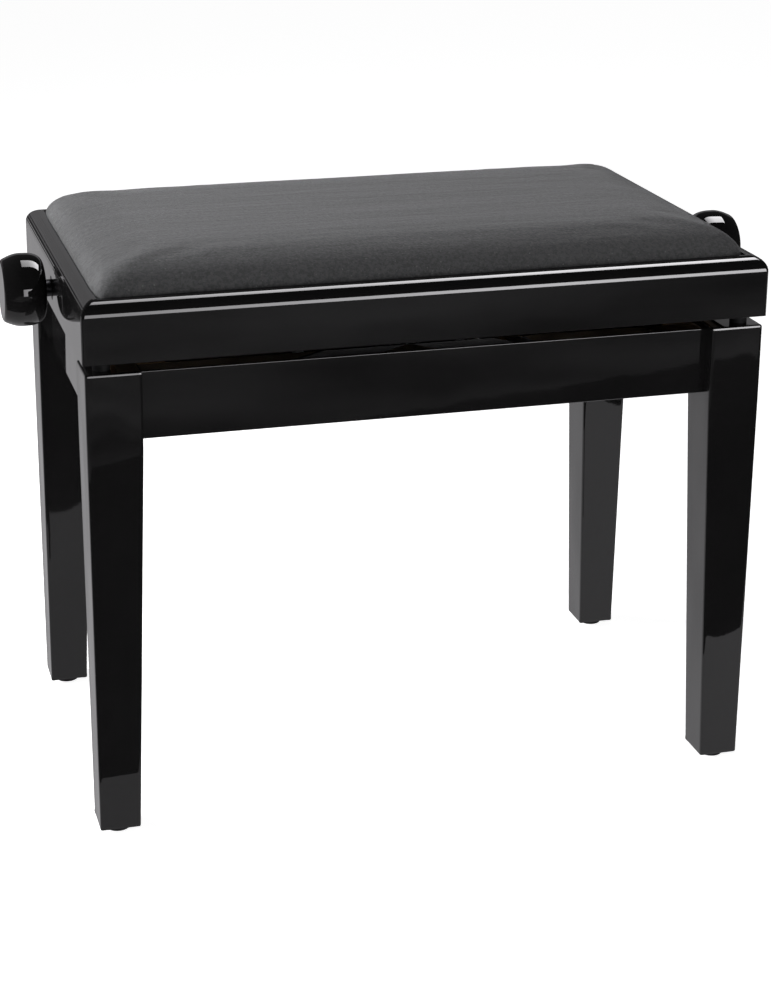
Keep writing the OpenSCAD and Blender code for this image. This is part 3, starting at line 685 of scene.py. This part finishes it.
class BENCH_OT_cushion(bpy.types.Operator):
    """Crowned velvet cushion, its edges drawn down into the seat frame"""

    bl_idname = "bench.cushion"
    bl_label = "Cushion"

    def pillow(self, sizes, low, high, frame_top):
        """The stuffing's cut shape: a block with round corners, its top raised in ever smaller rings."""
        seam_z = frame_top + 0.001
        rise = sizes.crown - 0.0015
        rings = (
            (0.0, 0.10), (0.001, 0.23), (0.003, 0.38), (0.006, 0.52), (0.010, 0.64), (0.016, 0.76),
            (0.024, 0.85), (0.036, 0.93), (0.052, 0.98), (0.072, 1.0),
        )
        piece = start_block("velvet_cushion", low, (high.x, high.y, seam_z))
        ease(piece, lambda edge: run(edge).z > 0.005, sizes.cushion_corner, 6)
        pick(piece, "faces", lambda face: face.normal.z > 0.9)
        half = (high - low) / 2
        draw, z = 0.0, seam_z
        for new_draw, share in rings:
            new_z = seam_z + rise * share
            bpy.ops.mesh.extrude_region_move(TRANSFORM_OT_translate={"value": (0, 0, new_z - z)})
            bpy.ops.transform.resize(value=(
                (half.x - new_draw) / (half.x - draw), (half.y - new_draw) / (half.y - draw), 1
            ))
            draw, z = new_draw, new_z
        bpy.ops.mesh.poke()
        rest()
        return piece

    def settle(self, piece, frame_top, rounds):
        """Evens out the crown, and leaves the edge in the seat frame as it is."""
        crown = piece.vertex_groups.new(name="crown")
        for v in piece.data.vertices:
            crown.add([v.index], min(1.0, max(0.0, (v.co.z - frame_top - 0.002) / 0.016)), "REPLACE")
        settle = piece.modifiers.new("settle", "SMOOTH")
        settle.iterations, settle.factor, settle.vertex_group = rounds, 0.5, crown.name
        bpy.ops.object.modifier_apply(modifier=settle.name)
        piece.vertex_groups.clear()

    def stuff(self, context, piece, sizes, frame_top):
        """Lets the stuffing press the velvet out, held along its lower edge, and limits how far it moves."""
        cloth = piece.modifiers.new("stuffing", "CLOTH")
        held = piece.vertex_groups.new(name="tacked")
        below = [v.index for v in piece.data.vertices if v.co.z < frame_top - 0.001]
        held.add(below, 1.0, "REPLACE")
        weave = cloth.settings
        weave.quality = 6
        weave.tension_stiffness = weave.compression_stiffness = 25.0
        weave.shear_stiffness, weave.bending_stiffness = 12.0, 6.0
        weave.use_pressure = True
        weave.uniform_pressure_force = 2.5
        weave.vertex_group_mass = held.name
        weave.effector_weights.gravity = 0.0
        cloth.point_cache.frame_start, cloth.point_cache.frame_end = 1, SETTLED_FRAME
        for moment in range(1, SETTLED_FRAME + 1):
            context.scene.frame_set(moment)
        solved = piece.evaluated_get(context.evaluated_depsgraph_get()).data
        before, after = (np.zeros(len(piece.data.vertices) * 3) for _ in range(2))
        piece.data.vertices.foreach_get("co", before)
        solved.vertices.foreach_get("co", after)
        move = (after - before).reshape(-1, 3)
        far = np.linalg.norm(move, axis=1, keepdims=True)
        move *= np.minimum(1.0, sizes.swell / np.maximum(far, 1e-9))
        piece.modifiers.remove(cloth)
        piece.vertex_groups.clear()
        piece.data.vertices.foreach_set("co", before + move.ravel())
        piece.data.update()
        context.scene.frame_set(1)

    def execute(self, context):
        sizes = context.scene.bench_sizes
        low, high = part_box("velvet_cover")
        frame_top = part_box("seat_rail_front")[1].z
        piece = self.pillow(sizes, low, high, frame_top)
        alone(piece)
        remesh = piece.modifiers.new("even weave", "REMESH")
        remesh.mode, remesh.voxel_size, remesh.use_smooth_shade = "VOXEL", VOXEL, True
        bpy.ops.object.modifier_apply(modifier=remesh.name)
        self.settle(piece, frame_top, 18)
        self.stuff(context, piece, sizes, frame_top)
        self.settle(piece, frame_top, 5)
        finer = piece.modifiers.new("finer", "SUBSURF")
        finer.levels = finer.render_levels = 1
        bpy.ops.object.modifier_apply(modifier=finer.name)
        bpy.ops.object.shade_smooth()
        put_on(piece, "velvet", context)
        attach(piece, "seat")
        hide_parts("velvet_cover", "foam_pad")
        rest()
        return {"FINISHED"}


class BENCH_OT_hardware(bpy.types.Operator):
    """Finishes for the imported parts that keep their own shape"""

    bl_idname = "bench.hardware"
    bl_label = "Hardware finishes"

    def execute(self, context):
        made = finishes(context.scene.bench_colours)
        for name, node in NODES.items():
            if not node.material_slots:
                raise RuntimeError(f"{name} has no material slot")
            for place in node.material_slots:
                slot = place.material.name.split(".")[0]
                if slot not in made:
                    raise RuntimeError(f"{name} has the slot {slot}, which has no finish")
                place.material = made[slot]
        return {"FINISHED"}


class BENCH_OT_stage(bpy.types.Operator):
    """A plain pale floor, soft light and the camera"""

    bl_idname = "bench.stage"
    bl_label = "Stage"

    def floor(self, context):
        """The pale floor, which the lacquer doesn't reflect."""
        f = Finish("stage_floor")
        dust = f.noise(3, detail=2.0)
        tint = tuple(context.scene.bench_colours.floor)
        shade = f.done(
            Base_Color=f.blend(dust, shaded(tint, 0.99), tint), Roughness=0.9, Specular_IOR_Level=0.0,
            Emission_Color=(1.0, 1.0, 1.0, 1.0), Emission_Strength=0.93,
        )
        sheet = start(
            "stage_floor", bpy.ops.mesh.primitive_plane_add, size=1, location=(0, 1, 0), scale=(18, 18, 1)
        )
        rest()
        sheet.data.materials.append(shade)
        sheet.visible_glossy = False

    def floor_glows(self):
        """The pale glows that the lacquer shows in place of the floor and of the room behind it."""
        up = Vector((0, 0, 1))
        near = Vector((-0.22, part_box("leg_front_left")[0].y - 0.105, -0.0005))
        depth = 3.0
        turned = Vector((-math.sin(FLOOR_GLOW_LIE), math.cos(FLOOR_GLOW_LIE), 0))
        centre = near + turned * depth / 2
        self.card(
            "card_floor", centre, centre + up, 9.0, depth, 0.78, FLOOR_GLOW_LIE, fade=(-0.45, 0.45, 0.60)
        )
        centre = Vector((0.3, near.y - 2.4, near.z))
        self.card("card_front_floor", centre, centre + up, 3.4, depth, 0.32, FLOOR_GLOW_LIE, clouds=0.75)
        self.card("card_backdrop", (0.0, 4.0, 1.30), (0.0, 0.0, 1.30), 9.0, 1.30, 0.30)

    def hidden(self, sheet, *rays):
        """Hides a part of the stage from those rays, and keeps it from lighting or shading anything."""
        for ray in (*rays, "diffuse", "shadow", "transmission", "volume_scatter"):
            setattr(sheet, "visible_" + ray, False)

    def sky(self):
        """A white dome that closes the view behind the floor, and lights nothing."""
        shade = Finish("stage_sky").done(
            Base_Color=(0.0, 0.0, 0.0, 1.0), Roughness=1.0, Specular_IOR_Level=0.0,
            Emission_Color=(1.0, 1.0, 1.0, 1.0), Emission_Strength=1.0,
        )
        dome = start(
            "stage_sky", bpy.ops.mesh.primitive_uv_sphere_add, segments=48, ring_count=24, radius=8.0
        )
        rest()
        dome.data.materials.append(shade)
        self.hidden(dome, "glossy")

    def softbox(self, name, place, target, width, height, power):
        """A large soft light that shows neither to the camera nor in reflections."""
        rest()
        bpy.ops.object.light_add(type="AREA", location=place)
        box = bpy.context.object
        box.name = name
        box.data.shape, box.data.size, box.data.size_y = "RECTANGLE", width, height
        box.data.energy = power
        box.rotation_euler = (Vector(target) - Vector(place)).to_track_quat("-Z", "Y").to_euler()
        box.visible_camera = box.visible_glossy = False

    def card(self, name, place, target, width, height, glow, lie=0.0, fade=None, clouds=0.0):
        """A glowing card seen only in reflections. It may be turned, dimmer at the left, or cloudy."""
        f = Finish(name)
        tint = (0.99, 0.975, 1.0)
        shade = f.blend(0.0, tint, tint)
        if fade:
            dim_x, bright_x, dim = fade
            across = f.ramp(f.node("ShaderNodeSeparateXYZ", inputs={0: f.spot}), dim_x, bright_x)
            shade = f.blend(across, shaded(tint, dim), tint)
        if clouds:
            drift = f.ramp(f.noise(1.9, (0.7, 1.6, 1.0), detail=3.0), 0.35, 0.65)
            shade = f.blend(drift * clouds, shade, (0.0, 0.0, 0.0))
        f.done(
            Base_Color=(0.0, 0.0, 0.0, 1.0), Roughness=1.0, Specular_IOR_Level=0.0, Emission_Color=shade,
            Emission_Strength=glow,
        )
        sheet = start(name, bpy.ops.mesh.primitive_plane_add, size=1, scale=(width, height, 1))
        alone(sheet)
        sheet.location = place
        facing = (Vector(target) - Vector(place)).to_track_quat("Z", "Y")
        sheet.rotation_euler = (facing @ Quaternion((0, 0, 1), lie)).to_euler()
        bpy.ops.object.transform_apply(location=True, rotation=True, scale=True)
        sheet.data.materials.append(f.material)
        self.hidden(sheet, "camera")

    def execute(self, context):
        studio = context.scene.bench_studio
        scene = context.scene
        self.floor(context)
        self.sky()
        self.floor_glows()
        world = bpy.data.worlds.new("stage_light")
        world.use_nodes = True
        background = world.node_tree.nodes["Background"]
        background.inputs["Color"].default_value = (0.55, 0.55, 0.56, 1.0)
        background.inputs["Strength"].default_value = 0.08
        scene.world = world
        self.softbox("light_over", (-1.40, 0.56, 0.98), (-0.10, 0.0, 0.45), 1.0, 0.8, 37)
        self.softbox("light_left", (-2.4, -0.6, 1.6), (0.0, 0.0, 0.3), 1.4, 1.4, 5)
        self.softbox("light_front", (-0.4, -3.2, 1.9), (0.0, 0.0, 0.3), 1.4, 0.6, 10)
        self.card("card_front", (0.9, -2.9, 0.58), (0.9, 0.0, 0.58), 2.4, 1.10, 12.0, fade=(0.0, 1.1, 0.40))
        self.card("card_over", (0.6, 0.48, 2.2), (0.6, 0.48, 0.0), 1.6, 0.98, 13.0, fade=(-0.2, 0.8, 0.32))
        self.card("card_left", (-1.3, -0.6, 0.30), (-0.28, -0.15, 0.30), 0.10, 0.10, 6.0)
        camera_data = bpy.data.cameras.new("bench_camera")
        camera = bpy.data.objects.new("bench_camera", camera_data)
        scene.collection.objects.link(camera)
        camera_data.lens, camera_data.sensor_width = studio.lens, 36.0
        camera_data.shift_x, camera_data.shift_y = studio.slide
        camera_data.clip_start, camera_data.clip_end = 0.05, 60.0
        camera.location = studio.place
        camera.rotation_euler = (math.pi / 2 - studio.dip, 0.0, -studio.turn)
        scene.camera = camera
        scene.view_settings.view_transform = "Standard"
        return {"FINISHED"}


class BENCH_PT_panel(bpy.types.Panel):
    """Lists the bench's pieces, sizes and colours"""

    bl_label = "Piano Bench"
    bl_idname = "BENCH_PT_panel"
    bl_space_type = "VIEW_3D"
    bl_region_type = "UI"
    bl_category = "Piano Bench"

    def draw(self, context):
        layout = self.layout
        for operator in OPERATORS:
            layout.operator(operator.bl_idname)
        for group in (context.scene.bench_sizes, context.scene.bench_colours, context.scene.bench_studio):
            box = layout.box()
            for key in group.bl_rna.properties.keys():
                if key not in ("rna_type", "name"):
                    box.prop(group, key)


OPERATORS = (
    BENCH_OT_legs, BENCH_OT_aprons, BENCH_OT_seat_frame, BENCH_OT_knobs, BENCH_OT_cushion, BENCH_OT_hardware,
    BENCH_OT_stage,
)
GROUPS = {"bench_sizes": BenchSizes, "bench_colours": BenchColours, "bench_studio": BenchStudio}


def register():
    for group in GROUPS.values():
        bpy.utils.register_class(group)
    for name, group in GROUPS.items():
        setattr(bpy.types.Scene, name, bpy.props.PointerProperty(type=group))
    for operator in OPERATORS:
        bpy.utils.register_class(operator)
    bpy.utils.register_class(BENCH_PT_panel)


def unregister():
    bpy.utils.unregister_class(BENCH_PT_panel)
    for operator in reversed(OPERATORS):
        bpy.utils.unregister_class(operator)
    for name, group in reversed(GROUPS.items()):
        delattr(bpy.types.Scene, name)
        bpy.utils.unregister_class(group)


def main():
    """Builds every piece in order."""
    register()
    bpy.ops.bench.hardware()
    bpy.ops.bench.legs()
    bpy.ops.bench.aprons()
    bpy.ops.bench.seat_frame()
    bpy.ops.bench.knobs()
    bpy.ops.bench.cushion()
    bpy.ops.bench.stage()


if __name__ == "__main__":
    main()
